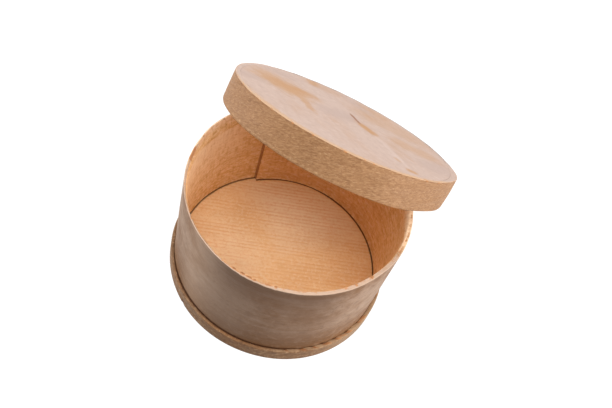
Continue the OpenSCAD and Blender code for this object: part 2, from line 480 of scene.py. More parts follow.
def shape_wall(ring, sizes):
    """Section of the wall strip: outside, worn rim, lap and inside."""
    side, wander, row = ring.side, ring.wander, ring.row
    outer_lap = ring.between(sizes.lap_foot, sizes.lap_outer_end)
    glued = np.where(outer_lap, lap_radius(ring, sizes.wall_radius, sizes), sizes.wall_radius)
    outside = glued + wander(3, (2, 3, 5), 0.10 * MM)
    lean = (0.75 * side(10.0, 34.0) + 0.55 * side(161.0, 22.0)) * MM
    brim = outside + lean
    skin = sizes.wall_radius - sizes.wall_thickness
    inside = inner_radius(ring, skin, sizes)
    lap = skin - inside

    # The rim: a small outer corner, a flat, a shelf where it is chipped and a slope down to the inside
    bite = ring.bites(RIM_BITES) * MM
    chipped = np.clip(bite / (0.5 * MM), 0.0, 1.0)
    rim = sizes.wall_height - 0.1 * MM + wander(5, (3, 7, 11, 26, 43), 0.10 * MM) - 0.5 * bite
    handled = side(-38.0, 80.0)
    edge = (0.16 + 0.12 * handled + wander(8, (9, 17, 31), 0.04)) * MM
    broken = side(-84.0, 34.0)
    flat = np.clip(rim_flat(ring) * MM + (1.9 * broken - 1.0) * bite, 0.15 * MM, None)
    flat_start = brim - edge
    flat_stop = np.maximum(flat_start - flat, skin + 0.2 * MM)
    shelf_stop = np.maximum(flat_stop - (0.05 + 0.50 * chipped) * MM, skin + 0.1 * MM)
    slope = shelf_stop - skin
    sliver = side(32.0, 28.0)
    drop = (0.2 + 5.0 * sliver) * MM + (3.6 - 1.4 * handled) * slope
    torn = side(20.0, 34.0)
    rounded = np.maximum(handled, torn)

    # Marks of the rim: torn on the right, feathered at the upper left, handled in front, chipped all round
    feathered = side(170.0, 44.0)
    cream = np.maximum(torn, feathered)
    frayed = np.maximum(0.35 * torn, 0.12 * side(-26.0, 38.0))
    soot = chipped * (1.0 - torn)
    split = 0.5 * side(36.0, 25.0)
    left_pale = side(-150.0, 36.0)
    bare = highest(chipped, rim_chips(ring) * (1.0 - 0.75 * feathered), 1.2 * side(-168.0, 6.0))
    chip_reach = 3.4 - 1.9 * side(12.0, 50.0) - 2.2 * side(-168.0, 8.0)

    # Marks of the outside and the inside, with painted shade on the near side outside and at the back inside
    outer_step = ring.upright(math.degrees(sizes.lap_outer_end))
    # The seam mark is the brown end grain of the inner strip end and partly painted shadow that its step
    # casts beside it
    seam = ring.upright(math.degrees(sizes.lap_end) + 0.3)
    dashes = smooth_step(-0.1, 0.5, wander(36, (29, 41, 53), 1.0)) * side(-46.0, 38.0)
    faint = (1.0 - side(*HOOP_TIGHT_RIGHT)) * (1.0 - side(*HOOP_TIGHT_LEFT))
    crack = highest(0.9 * side(*HOOP_OPEN), 0.8 * dashes, 0.18 * faint)
    # Painted shade: the near side of the outside is darkened, most near the rim, and a little on the left
    near_shade = np.maximum(side(-73.0, 47.0), 0.1 * side(-20.0, 34.0))
    dry = np.maximum(side(-104.0, 30.0), 0.7 * side(-168.0, 30.0))
    far = 0.10 * side(-138.0, 22.0)
    dry_inside = side(178.0, 46.0)
    # Painted shade inside at the back, under the open lid
    shaded = side(88.0, 62.0)

    for level in (0.15 * MM, 4.0 * MM, 8.0 * MM):
        row(glued, level)
    foot = sizes.hoop_height
    for lift, dirt in ((0.0, 1.0), (0.4, 0.75), (0.9, 0.25), (2.0, 0.0)):
        row(outside, foot + lift * MM, grime=dirt * crack, wear=0.4 * outer_step, soil=0.6 * near_shade, dry=dry)
    foot = foot + 2.0 * MM
    for share in np.linspace(0.04, 0.94, 13):
        arch = math.sin(math.pi * share)
        radius = outside + 0.12 * MM * arch + share * share * lean
        dark = np.maximum((0.75 - 0.25 * arch + 0.4 * share * share) * near_shade, far)
        row(radius, foot + share * (rim - foot), wear=0.5 * outer_step, soil=dark, dry=dry)
    row(brim, rim - edge - 0.35 * MM, soil=near_shade, dry=dry, wear=0.35 * side(170.0, 70.0))

    for place, (radius, level) in enumerate(corner(flat_start, rim - edge, edge, 0.0, 90.0, 4)):
        pale = min(1.0, 0.4 + 0.3 * place) * (0.75 + 0.25 * handled) * (1.0 - cream)
        row(radius, level, wear=pale, bare=(0.2 + 0.5 * frayed) * bare, inside=cream, dry=cream)
    middle = 0.5 * (flat_start + flat_stop)
    pale = (0.65 + 0.35 * handled) * (1.0 - cream)
    fresh = (0.55 + frayed) * bare
    row(middle, rim + 0.02 * MM, wear=pale, bare=fresh, grime=0.3 * soot, inside=cream, dry=cream)
    pale = 0.8 * handled * (1.0 - torn)
    fresh = (1.0 - 0.7 * torn) * bare
    row(flat_stop, rim - 0.02 * MM, wear=pale, bare=fresh, grime=0.45 * soot, inside=cream, dry=cream)
    shelf = rim - 0.12 * MM * chipped
    for share in (0.0, 0.06, 0.2, 0.4, 0.6, 0.8, 1.0):
        turn = 0.5 * math.pi * share
        radius = shelf_stop - slope * (share + rounded * (math.sin(turn) - share))
        radius = radius - 1.6 * MM * sliver * math.sin(math.pi * share)
        level = shelf - drop * (share + rounded * (1.0 - math.cos(turn) - share))
        pale = (1.0 - torn) * handled * max(0.0, 0.8 - 2.0 * share)
        row(
            radius,
            level,
            wear=np.maximum(pale, left_pale * max(0.0, 0.9 - 1.2 * share)),
            bare=fresh * np.clip(1.0 - chip_reach * share, 0.0, 1.0),
            inside=np.maximum(cream, min(1.0, 5.0 * share)),
            dry=cream * max(0.0, 1.3 - 2.0 * share),
            grime=np.maximum(0.4 * soot * max(0.0, 1.0 - 2.0 * share), split * max(0.0, 1.0 - 16.0 * share)),
        )

    ledge = shelf - drop
    lap_line = 0.6 * smooth_step(0.2 * MM, 0.8 * MM, lap)
    row(skin - 0.1 * lap, ledge - 0.15 * MM, grime=lap_line, inside=1.0)
    row(inside + 0.25 * lap, ledge - 0.35 * MM, wear=0.5 * lap_line, inside=1.0)
    row(inside, ledge - 0.9 * MM, inside=1.0)
    base = sizes.floor_thickness
    for share in np.linspace(0.96, 0.04, 16):
        level = base + 1.0 * MM + share * (ledge - 0.9 * MM - base - 1.0 * MM)
        row(inside, level, seam=seam, inside=1.0, dry=dry_inside * share * share, soil=shaded)
    for lift, dirt in ((0.9, 0.0), (0.5, 0.22), (0.2, 0.4), (-0.1, 0.65), (-0.8, 1.0)):
        row(inside, base + lift * MM, grime=dirt, seam=seam, inside=1.0)
    row(inside, 0.3 * MM, inside=1.0)
    row(inside + 0.3 * MM, 0.0, wear=0.3)
    row(outside - 0.3 * MM, 0.0, wear=0.3)


def shape_floor(ring, sizes):
    """Section of the floor board from the middle of its underside, over its edge, to the middle on top."""
    side, row = ring.side, ring.row
    in_lap = ring.between(sizes.lap_foot, sizes.lap_end)
    edge = inner_radius(ring, sizes.floor_radius, sizes) - np.where(in_lap, 0.05 * MM, 0.0)
    top = sizes.floor_thickness
    far_left = side(165.0, 64.0)
    groove = 0.40 + 0.30 * side(40.0, 70.0) + 0.32 * far_left + ring.wander(21, (3, 5, 9, 17, 29, 47), 0.09)
    groove = np.clip(groove * MM, 0.08 * MM, None)
    depth = (0.50 - 0.28 * far_left) * MM
    lip = edge - 1.1 * groove
    # Painted light: the dry mark makes the back of the floor paler, where the open lid shades it, and a ring
    # on the left
    back = side(95.0, 62.0)
    left = side(-146.0, 64.0)
    for share in (0.2, 0.5, 0.8, 0.96):
        row(share * edge, 0.15 * MM, soil=1.0)
    row(edge - 0.5 * MM, 0.15 * MM, soil=1.0, grime=0.4)
    row(edge - 0.05 * MM, 0.6 * MM)
    for share, drop, dirt in ((0.0, 1.4, 1.0), (0.5, 0.9, 1.0), (0.85, 0.3, 0.7)):
        row(edge - share * groove, top - drop * depth, grime=dirt)
    row(lip, top - 0.05 * MM, grime=0.3)
    row(lip - 0.35 * MM, top, grime=0.2)
    row(lip - 1.4 * MM, top, dry=0.8 * back)
    # Painted shade darkens the middle of the top
    for share in (0.92, 0.8, 0.65, 0.5, 0.35, 0.2, 0.08):
        sag = 0.10 * MM * math.cos(0.5 * math.pi * share)
        dry = np.maximum(min(1.0, 0.4 + share) * back, 0.6 * math.sin(math.pi * share) * left)
        row(share * edge, top - sag, dry=dry, soil=max(0.0, 1.0 - 2.2 * share))


def shape_hoop(ring, sizes):
    """Section of the foot hoop, with its worn upper edge and the open line against the wall."""
    side, wander, row = ring.side, ring.wander, ring.row
    outer = sizes.hoop_radius + wander(31, (2, 4, 7), 0.10 * MM) + 0.22 * MM * side(-60.0, 80.0)
    inner = sizes.wall_radius + 0.02 * MM
    bite = ring.bites(HOOP_BITES) * MM
    dent = ring.bites(HOOP_DENT) * MM
    split = dent / (0.25 * MM)
    top = sizes.hoop_height - 0.05 * MM + wander(33, (3, 5, 8, 19, 37), 0.12 * MM) - 0.5 * bite
    gap = (0.14 + 0.24 * side(*HOOP_OPEN) + wander(35, (6, 11, 23, 41), 0.08)) * MM
    tight = np.maximum(side(*HOOP_TIGHT_RIGHT), 0.8 * side(*HOOP_TIGHT_LEFT))
    gap = np.clip(gap, 0.12 * MM, None) * (1.0 - 0.85 * tight) + 0.6 * bite
    edge = (0.55 + wander(37, (4, 9, 15), 0.12)) * MM
    lip = 0.18 * MM
    runs = smooth_step(-0.3, 0.8, wander(38, (13, 23, 41, 67), 1.0))
    bare = np.maximum(np.clip(bite / (0.4 * MM), 0.0, 1.0), 0.75 * runs * side(-12.0, 44.0))
    worn = 0.15 + 0.6 * side(-32.0, 52.0) + 0.3 * side(-4.0, 30.0)
    dry = np.maximum(side(-8.0, 40.0), 0.3 * side(-145.0, 60.0))
    dirty = 0.25 * (1.0 - tight) + 0.35 * side(-100.0, 64.0)
    foot = 0.3 * MM + 0.5 * dent
    row(outer - 0.3 * MM - dent, 0.0, wear=0.3)
    row(outer - dent, foot, grime=split)
    for share, dark in ((0.1, 1.0), (0.3, 0.8), (0.45, 0.0), (0.65, 0.0), (0.85, 0.0)):
        level = foot + share * (top - edge - foot)
        row(outer - dark * dent, level, wear=0.1 * share * worn, grime=dark * split, dry=dry)
    for place, (radius, level) in enumerate(corner(outer - edge, top - edge, edge, 0.0, 90.0, 6)):
        row(radius, level, wear=worn * (0.25 + 0.1 * place), bare=0.12 * place * bare, dry=dry)
    for radius, level in corner(inner + gap + lip, top - lip, lip, 90.0, 180.0, 4):
        row(radius, level, wear=0.7 * worn, bare=bare, grime=dirty)
    row(inner + 0.8 * gap, top - 0.45 * MM, grime=1.0 - 0.8 * tight)
    row(inner, top - 1.0 * MM, grime=1.0)
    row(inner, top - 4.0 * MM)
    row(inner, 0.2 * MM)
    row(inner + 0.2 * MM, 0.0, wear=0.3)


def lid_lift(ring):
    """How far the lid's top stands up along its near edge."""
    return 0.3 * MM * ring.side(-95.0, 120.0)


def shape_lid_band(ring, sizes):
    """Section of the lid band about the middle of the lid board's underside."""
    side, wander, row = ring.side, ring.wander, ring.row
    outer = sizes.band_radius + wander(41, (2, 3, 6), 0.10 * MM)
    outer_top = outer + ring.outline(LID_TOP_OUTLINE) * MM
    outer_foot = outer + ring.outline(LID_FOOT_OUTLINE) * MM
    bulge = (0.06 + 0.25 * side(0.0, 26.0)) * MM
    inner = sizes.band_radius - sizes.band_thickness
    top = sizes.disc_thickness - 0.03 * MM + wander(43, (4, 7, 13, 29), 0.09 * MM) + lid_lift(ring)
    low = sizes.disc_thickness - sizes.band_height
    edge = (0.26 + wander(45, (8, 15, 27, 53), 0.07)) * MM
    lip = 0.04 * MM
    foot_edge = (0.25 + wander(46, (7, 12, 25), 0.06)) * MM
    foot = low + wander(44, (3, 5, 9, 21), 0.12 * MM) + 0.1 * MM + foot_edge
    front = 0.35 + 0.65 * side(*LID_FRONT)
    spots = smooth_step(0.45, 1.1, wander(47, (31, 47, 71, 97, 151), 1.0)) * front
    dashes = smooth_step(0.0, 0.9, wander(49, (13, 23, 37, 61), 1.0)) * front
    far = side(85.0, 100.0)
    dry = np.maximum(0.45 * side(-158.0, 60.0), 0.25 * side(-24.0, 42.0))
    rubbed = 1.0 + 0.6 * side(-45.0, 40.0) + wander(48, (5, 9, 16, 33), 0.25)
    pale_foot = 0.5 * side(-112.0, 62.0)
    for place, (radius, level) in enumerate(corner(outer_foot - foot_edge, foot, foot_edge, -90.0, 0.0, 5)):
        row(radius, level, wear=0.4 - 0.06 * place)
    for share in (0.06, 0.2, 0.35, 0.5, 0.65, 0.8, 0.94):
        radius = outer_foot + share * (outer_top - outer_foot) + bulge * math.sin(math.pi * share)
        pale = max(0.0, 1.0 - 5.0 * share) * pale_foot
        row(radius, foot + share * (top - edge - foot), dry=dry, wear=pale)
    # Painted shade: a broken dark line just under the top edge in front, from the dashes mark
    row(outer_top, top - edge - 0.3 * MM, bare=0.5 * spots, grime=0.55 * dashes)
    for place, (radius, level) in enumerate(corner(outer_top - edge, top - edge, edge, 0.0, 90.0, 5)):
        pale = front * max(0.0, 0.28 * place - 0.1)
        row(radius, level, wear=pale, bare=spots, top=0.25 * place, grime=0.8 * far)
    for inset, worn in ((0.4, 0.95), (0.9, 0.75), (1.3, 0.45)):
        radius = np.maximum(outer_top - edge - inset * rubbed * MM, inner + (0.6 - 0.4 * inset) * MM)
        dirt = min(0.5, 1.2 - 0.6 * inset) * far
        row(radius, top + 0.01 * MM, wear=front * worn, bare=0.8 * spots * worn, top=1.0, grime=dirt)
    for radius, level in corner(inner + lip, top - lip, lip, 90.0, 180.0, 3):
        row(radius, level, wear=0.50 * front, top=1.0)
    row(inner, top - 0.4 * MM, top=1.0)
    row(inner, top - 1.2 * MM, grime=1.0)
    row(inner, 0.3 * MM, inside=1.0)
    row(inner, -0.6 * MM, grime=0.4, inside=1.0)
    for share in (0.25, 0.5, 0.75):
        row(inner, share * foot, inside=1.0)
    for radius, level in corner(inner + foot_edge, foot, foot_edge, 180.0, 270.0, 4):
        row(radius, level, wear=0.4, inside=1.0)


def shape_lid_board(ring, sizes):
    """Section of the lid board from the middle of its underside, over its edge, to the middle on top."""
    row = ring.row
    edge = sizes.disc_radius + 0.07 * MM
    lift = lid_lift(ring)
    top = sizes.disc_thickness + lift
    bevel = (0.05 + ring.wander(51, (5, 9, 14, 33), 0.015)) * MM
    front = ring.side(*LID_FRONT)
    open_line = 0.5 * ring.side(20.0, 60.0)
    uneven = ring.wander(53, (2, 3), 0.03 * MM)
    for share in (0.15, 0.4, 0.65, 0.85, 0.96):
        row(share * edge, 0.0, inside=1.0)
    row(edge - 0.4 * MM, 0.0, inside=1.0, grime=0.3)
    row(edge, 0.4 * MM, grime=0.8)
    row(edge, top - 1.1 * MM, grime=1.0)
    row(edge - 0.35 * bevel, top - 0.35 * MM, grime=0.2 + open_line)
    row(edge - bevel, top - 0.03 * MM, wear=0.50 * front, grime=open_line)
    for inset, worn in ((0.4, 0.48), (1.4, 0.36), (2.8, 0.0)):
        row(edge - bevel - inset * MM, top, wear=worn * front)
    for share in (0.93, 0.82, 0.7, 0.58, 0.46, 0.34, 0.22, 0.1):
        cup = 0.12 * MM * math.cos(0.5 * math.pi * share) + uneven
        row(share * edge, sizes.disc_thickness + lift * share * share - cup)


class Bench:
    """A node tree at work: each call adds nodes and gives back what comes out of the last one."""

    def __init__(self, tree):
        self.tree = tree

    def node(self, kind, sockets, **settings):
        """Adds a node, sets it, feeds it with values or other nodes' outputs, and gives its outputs."""
        made = self.tree.nodes.new(kind)
        for key, value in settings.items():
            setattr(made, key, value)
        for key, value in sockets.items():
            if isinstance(value, bpy.types.NodeSocket):
                self.tree.links.new(value, made.inputs[key])
            else:
                made.inputs[key].default_value = value
        return made.outputs

    def maths(self, operation, first, second=0.0, third=0.0):
        """One sum of up to three numbers."""
        return self.node("ShaderNodeMath", {0: first, 1: second, 2: third}, operation=operation)[0]

    def times(self, first, second):
        """One number times another."""
        return self.maths("MULTIPLY", first, second)

    def shaken(self, value, noise, amount):
        """A number moved up and down by a noise."""
        return self.maths("MULTIPLY_ADD", self.maths("SUBTRACT", noise, 0.5), amount, value)

    def vector(self, operation, first, second):
        """One sum of two vectors."""
        return self.node("ShaderNodeVectorMath", {0: first, 1: second}, operation=operation)["Vector"]

    def combine(self, x, y, z):
        """A vector of three numbers."""
        return self.node("ShaderNodeCombineXYZ", {0: x, 1: y, 2: z})[0]

    def separate(self, vector):
        """The three numbers of a vector."""
        return self.node("ShaderNodeSeparateXYZ", {0: vector})

    def turned(self, vector, angle):
        """A vector turned back about Z by an angle."""
        sockets = {"Vector": vector, "Angle": self.times(angle, -1.0)}
        return self.node("ShaderNodeVectorRotate", sockets, rotation_type="Z_AXIS")[0]

    def noise(self, vector, stretch, detail=3.0, roughness=0.55, distortion=0.0):
        """Cloudy noise, drawn together by stretch along each axis."""
        sockets = {"Vector": self.vector("MULTIPLY", vector, stretch), "Scale": 1.0}
        sockets.update({"Detail": detail, "Roughness": roughness, "Distortion": distortion})
        return self.node("ShaderNodeTexNoise", sockets)[0]

    def remap(self, value, low, high, to_low=0.0, to_high=1.0):
        """A smooth change from to_low at low to to_high at high."""
        sockets = {0: value, 1: low, 2: high, 3: to_low, 4: to_high}
        return self.node("ShaderNodeMapRange", sockets, interpolation_type="SMOOTHSTEP")[0]

    def mix(self, factor, first, second):
        """A mix of two colours."""
        return self.node("ShaderNodeMix", {0: factor, 6: first, 7: second}, data_type="RGBA")[2]

    def group(self, name, *values):
        """A shared effect, fed with values in the order of its inputs. Those left out keep their defaults."""
        sockets = dict(enumerate(values))
        return self.node("ShaderNodeGroup", sockets, node_tree=bpy.data.node_groups[name])


class Effect(Bench):
    """A shared effect in the making: a node group that takes vectors and numbers and gives numbers."""

    def __init__(self, name, inputs):
        super().__init__(bpy.data.node_groups.new(name, "ShaderNodeTree"))
        for label, value in inputs.items():
            kind = "NodeSocketVector" if value is None else "NodeSocketFloat"
            socket = self.tree.interface.new_socket(label, in_out="INPUT", socket_type=kind)
            if value is not None:
                socket.default_value = value
        self.given = self.tree.nodes.new("NodeGroupInput").outputs[: len(inputs)]

    def give(self, **results):
        """Ends the effect with what comes out of it."""
        for label in results:
            self.tree.interface.new_socket(label, in_out="OUTPUT", socket_type="NodeSocketFloat")
        taken = self.tree.nodes.new("NodeGroupOutput").inputs
        for label, value in results.items():
            self.tree.links.new(value, taken[label])


def make_strip_grain():
    """Grain of a bent strip: streaks along the bend, short pores and wavy flecks."""
    inputs = {"Position": None, "Along": 30.0, "Across": 900.0, "Fleck Along": 240.0, "Fleck Across": 800.0}
    effect = Effect("strip grain", inputs)
    position, along, across, fleck_along, fleck_across = effect.given
    stretch = effect.combine(along, along, across)
    streak = effect.noise(position, stretch, 5.0, 0.62)
    drawn = effect.vector("MULTIPLY", position, stretch)
    pore = effect.remap(effect.noise(drawn, (4.0, 4.0, 2.6), 2.0), 0.58, 0.72)
    stretch = effect.combine(fleck_along, fleck_along, fleck_across)
    fleck = effect.remap(effect.noise(position, stretch, 2.0, 0.6, 1.1), 0.40, 0.64)
    raised = effect.maths("MULTIPLY_ADD", fleck, 0.5, streak)
    effect.give(Streak=streak, Pore=pore, Fleck=fleck, Height=effect.maths("SUBTRACT", raised, pore))


def make_board_grain():
    """Grain of a flat board: year lines across the face, fine pores along them."""
    effect = Effect("board grain", {"Position": None, "Turn": 0.0, "Spacing": 0.0024, "Sway": 0.0012})
    position, turn, spacing, sway = effect.given
    turned = effect.turned(position, turn)
    across = effect.separate(turned)["Y"]
    swayed = effect.shaken(across, effect.noise(turned, (9.0, 60.0, 60.0), 2.0), sway)
    phase = effect.times(effect.maths("DIVIDE", swayed, spacing), math.tau)
    wave = effect.maths("MULTIPLY_ADD", effect.maths("SINE", phase), 0.5, 0.5)
    patch = effect.remap(effect.noise(turned, (26.0, 210.0, 60.0), 2.0), 0.38, 0.62, 0.25, 1.0)
    line = effect.times(effect.remap(wave, 0.35, 1.0), patch)
    pore = effect.remap(effect.noise(turned, (150.0, 2600.0, 2600.0), 3.0, 0.6), 0.54, 0.72)
    cloud = effect.noise(turned, (18.0, 50.0, 50.0), 4.0, 0.6)
    height = effect.maths("SUBTRACT", effect.times(line, -0.6), pore)
    effect.give(Line=line, Pore=pore, Cloud=cloud, Height=height)


def make_handling_marks():
    """Handling marks: soft blotches, small specks and a fine mottle of light and dark fibres."""
    scales = {"Scale": 45.0, "Speck Scale": 900.0, "Mottle Along": 500.0, "Mottle Up": 500.0}
    effect = Effect("handling marks", {"Position": None, **scales})
    position, scale, speck_scale, mottle_along, mottle_up = effect.given
    blotch = effect.remap(effect.noise(position, scale, 4.0, 0.6), 0.34, 0.66)
    speck = effect.remap(effect.noise(position, speck_scale, 1.0), 0.68, 0.80)
    stretch = effect.combine(mottle_along, mottle_along, mottle_up)
    fibre = effect.noise(position, stretch, 2.0, 0.65, 0.6)
    dark = effect.remap(fibre, 0.50, 0.72)
    effect.give(Blotch=blotch, Speck=speck, Dark=dark, Light=effect.remap(fibre, 0.50, 0.28))


def make_ragged_edge():
    """Ragged border for wear, chips or dirt, from a mark on the mesh."""
    effect = Effect("ragged edge", {"Position": None, "Mark": 0.0, "Raggedness": 0.5, "Scale": 700.0})
    position, mark, raggedness, scale = effect.given
    frayed = effect.shaken(mark, effect.noise(position, scale, 3.0, 0.6), raggedness)
    effect.give(Mask=effect.remap(frayed, 0.22, 0.62))


def make_stroke():
    """One long mark in a board's plane, such as a streak or a hairline crack."""
    inputs = {"Position": None, "Middle": None, "Turn": 0.0, "Half Length": 0.01, "Half Width": 0.001}
    effect = Effect("stroke", {**inputs, "Sway": 0.001, "Raggedness": 0.3})
    position, middle, turn, half_length, half_width, sway, raggedness = effect.given
    turned = effect.turned(effect.vector("SUBTRACT", position, middle), turn)
    place = effect.separate(turned)
    swayed = effect.shaken(place["Y"], effect.noise(turned, (120.0, 120.0, 120.0)), sway)
    along = effect.maths("ABSOLUTE", effect.maths("DIVIDE", place["X"], half_length))
    across = effect.maths("ABSOLUTE", effect.maths("DIVIDE", swayed, half_width))
    inner = effect.times(effect.remap(along, 1.0, 0.1), effect.remap(across, 1.0, 0.0))
    frayed = effect.shaken(inner, effect.noise(turned, (160.0, 420.0, 420.0), 3.0, 0.65), raggedness)
    effect.give(Mask=effect.times(effect.remap(frayed, 0.05, 0.95), effect.remap(inner, 0.0, 0.25)))


SHARED_EFFECTS = {
    "strip grain": make_strip_grain,
    "board grain": make_board_grain,
    "handling marks": make_handling_marks,
    "ragged edge": make_ragged_edge,
    "stroke": make_stroke,
}


class Wood(Bench):
    """A wood in the making: its material, the colours and the position on the piece."""

    def __init__(self, name, colours):
        for effect, maker in SHARED_EFFECTS.items():
            if effect not in bpy.data.node_groups:
                maker()
        self.material = bpy.data.materials.new(name)
        self.material.use_nodes = True
        super().__init__(self.material.node_tree)
        self.tree.nodes.clear()
        self.colours = colours
        self.position = self.node("ShaderNodeTexCoord", {})["Object"]

    def mark(self, name):
        """A value that the mesh carries at its points."""
        return self.node("ShaderNodeAttribute", {}, attribute_name=name)["Fac"]

    def ragged(self, name, raggedness):
        """The ragged border of a mark."""
        return self.group("ragged edge", self.position, self.mark(name), raggedness)["Mask"]

    def stroke(self, place, turn, half_length, half_width, sway, raggedness):
        """One stroke on a board, with its place and sizes in millimetres and its turn in degrees."""
        middle = (place[0] * MM, place[1] * MM, 0.0)
        sizes = (half_length * MM, half_width * MM, sway * MM)
        return self.group("stroke", self.position, middle, math.radians(turn), *sizes, raggedness)["Mask"]

    def shade(self, colour_or_name):
        """A colour of the woods by its name. A colour made of nodes stays as it is."""
        if isinstance(colour_or_name, str):
            return tuple(getattr(self.colours, colour_or_name))
        return colour_or_name

    def layers(self, base, *layers):
        """Lays colours over a base, one after the other, each as (mask, strength, colour)."""
        base = self.shade(base)
        for mask, strength, over in layers:
            factor = mask if strength == 1.0 else self.times(mask, strength)
            base = self.mix(factor, base, self.shade(over))
        return base

    def finish(self, base, gloss, roughness, height, bump_depth):
        """Joins colour, roughness and height to the surface, and gives the material."""
        sockets = {"Strength": BUMP_STRENGTH, "Distance": bump_depth, "Height": height}
        bump = self.node("ShaderNodeBump", sockets)[0]
        sockets = {"Base Color": base, "Normal": bump, "Specular IOR Level": SPECULAR_LEVEL}
        sockets["Roughness"] = self.remap(gloss, 0.3, 0.7, *roughness)
        surface = self.node("ShaderNodeBsdfPrincipled", sockets)[0]
        self.node("ShaderNodeOutputMaterial", {"Surface": surface})
        return self.material


def make_wall_wood(colours):
    """Wall strip: grey and handled outside, clean and orange inside, pale and chipped along the rim, with
    painted shade.
    """
    wood = Wood("bent_wall_wood", colours)
    height_above = wood.separate(wood.position)["Z"]
    grain = wood.group("strip grain", wood.position, 16.0, 380.0)
    handled = wood.group("handling marks", wood.position, 46.0, 520.0, 260.0, 300.0)
    skin = wood.layers(
        "outside",
        (handled["Blotch"], wood.remap(height_above, 30.0 * MM, 62.0 * MM, 0.55, 1.0), "outside_warm"),
        (wood.remap(height_above, 38.0 * MM, 17.0 * MM), 0.95, "outside_warm"),
        (wood.remap(grain["Streak"], 0.50, 0.78), 0.16, "outside_dark"),
        (handled["Dark"], 0.34, "outside_dark"),
        (handled["Light"], 0.22, "rim"),
        (handled["Speck"], 0.30, "outside_dark"),
        (wood.mark("dry"), 0.38, "rim"),
        # Painted shade on the near side of the outside
        (wood.mark("soil"), 0.80, "outside_dark"),
    )
    fibres = wood.group("handling marks", wood.position, 90.0, 620.0, 300.0, 620.0)
    scraped = wood.group("strip grain", wood.position, 850.0, 120.0)
    lined = wood.times(wood.remap(grain["Streak"], 0.46, 0.66), 0.55)
    combed = wood.times(wood.remap(scraped["Streak"], 0.44, 0.66), 0.60)
    lining = wood.layers(
        "inside",
        (wood.maths("MAXIMUM", lined, combed), 1.0, "inside_dark"),
        (fibres["Dark"], 0.95, "inside_dark"),
        (fibres["Light"], 0.80, "inside_pale"),
        (fibres["Speck"], 0.45, "bare"),
        (wood.mark("dry"), wood.remap(scraped["Streak"], 0.64, 0.38, 0.42, 0.92), "inside_pale"),
        # Painted shade at the back of the inside, under the open lid
        (wood.mark("soil"), 0.35, "bare"),
        # Brown end grain at the strip's inner end, partly painted shadow beside its step
        (wood.ragged("seam", 0.6), 0.60, "seam"),
    )
    chip = wood.ragged("bare", 1.2)
    base = wood.layers(
        skin,
        (wood.mark("inside"), 1.0, lining),
        (wood.ragged("wear", 0.9), 0.9, "rim"),
        (chip, 0.8, "bare"),
        (wood.ragged("grime", 0.5), 0.85, "grime"),
    )
    height = wood.maths("MULTIPLY_ADD", chip, -2.0, grain["Height"])
    return wood.finish(base, grain["Streak"], (0.52, 0.70), height, 0.10 * MM)


def make_floor_wood(colours):
    """Floor board: clean, orange-tan, with fine straight year lines, painted light at the back and painted
    shade in the middle.
    """
    wood = Wood("floor_board_wood", colours)
    grain = wood.group("board grain", wood.position, math.radians(25.8), 2.35 * MM, 2.0 * MM)
    handled = wood.group("handling marks", wood.position, 30.0, 700.0, 620.0, 620.0)
    base = wood.layers(
        "floor",
        # Painted light at the back of the floor, and paler on the left
        (wood.mark("dry"), 0.85, "floor_pale"),
        (grain["Line"], 0.55, "floor_line"),
        (grain["Pore"], 0.35, "floor_line"),
        (wood.remap(grain["Cloud"], 0.42, 0.70), 0.25, "inside_dark"),
        (handled["Dark"], 0.50, "floor_line"),
        (handled["Light"], 0.50, "floor_pale"),
        (handled["Speck"], 0.25, "inside_dark"),
        # Painted shade in the middle of the floor
        (wood.mark("soil"), 0.28, "band_edge"),
        (wood.ragged("grime", 0.7), 0.75, "grime"),
    )
    return wood.finish(base, grain["Cloud"], (0.58, 0.72), grain["Height"], 0.08 * MM)


def make_hoop_wood(colours):
    """Foot hoop: brown and handled, with a worn upper edge."""
    wood = Wood("foot_strip_wood", colours)
    grain = wood.group("strip grain", wood.position, 22.0, 620.0)
    handled = wood.group("handling marks", wood.position, 60.0, 600.0, 420.0, 420.0)
    fresh = wood.layers("seam", (wood.mark("dry"), 1.0, "bare"))
    base = wood.layers(
        "hoop",
        (handled["Blotch"], 1.0, "outside_warm"),
        (wood.remap(grain["Streak"], 0.48, 0.75), 0.3, "outside_dark"),
        (handled["Dark"], 0.65, "outside_dark"),
        (handled["Light"], 0.60, "hoop_pale"),
        (wood.mark("dry"), 0.45, "hoop_pale"),
        (wood.ragged("wear", 1.0), 0.6, "hoop_pale"),
        (wood.ragged("bare", 0.9), 0.65, fresh),
        (wood.ragged("grime", 0.5), 0.85, "grime"),
    )
    return wood.finish(base, grain["Streak"], (0.55, 0.72), grain["Height"], 0.10 * MM)


def make_lid_band_wood(colours):
    """Lid band: brown with small wavy flecks, pale along the worn top edge, clean inside, with painted shade
    under its top edge in front.
    """
    wood = Wood("lid_strip_wood", colours)
    x, y, z = wood.separate(wood.position)
    slanted = wood.combine(x, y, wood.maths("MULTIPLY_ADD", x, -0.30, z))
    grain = wood.group("strip grain", slanted, 30.0, 700.0, 380.0, 1100.0)
    handled = wood.group("handling marks", slanted, 40.0, 800.0, 540.0, 1700.0)
    lining = wood.layers(
        "inside",
        (wood.remap(grain["Streak"], 0.42, 0.66), 0.7, "inside_dark"),
        (handled["Light"], 0.5, "inside_pale"),
    )
    base = wood.layers(
        "band",
        (grain["Fleck"], 0.55, "band_fleck"),
        (wood.remap(grain["Streak"], 0.50, 0.75), 0.25, "band_fleck"),
        (handled["Blotch"], 0.25, "outside_warm"),
        (handled["Dark"], 0.50, "band_fleck"),
        (handled["Light"], 0.32, "band_edge"),
        (wood.mark("dry"), 0.45, "band_pale"),
        (wood.mark("top"), 1.0, "lid"),
        (wood.mark("inside"), 1.0, lining),
        (wood.ragged("wear", 0.7), 0.85, "band_edge"),
        (wood.ragged("bare", 0.7), 0.7, "bare"),
        # The grime mark here also holds painted shade under the top edge in front
        (wood.ragged("grime", 0.35), 0.7, "grime"),
    )
    height = wood.maths("SUBTRACT", grain["Height"], handled["Dark"])
    return wood.finish(base, grain["Streak"], (0.56, 0.72), height, 0.16 * MM)


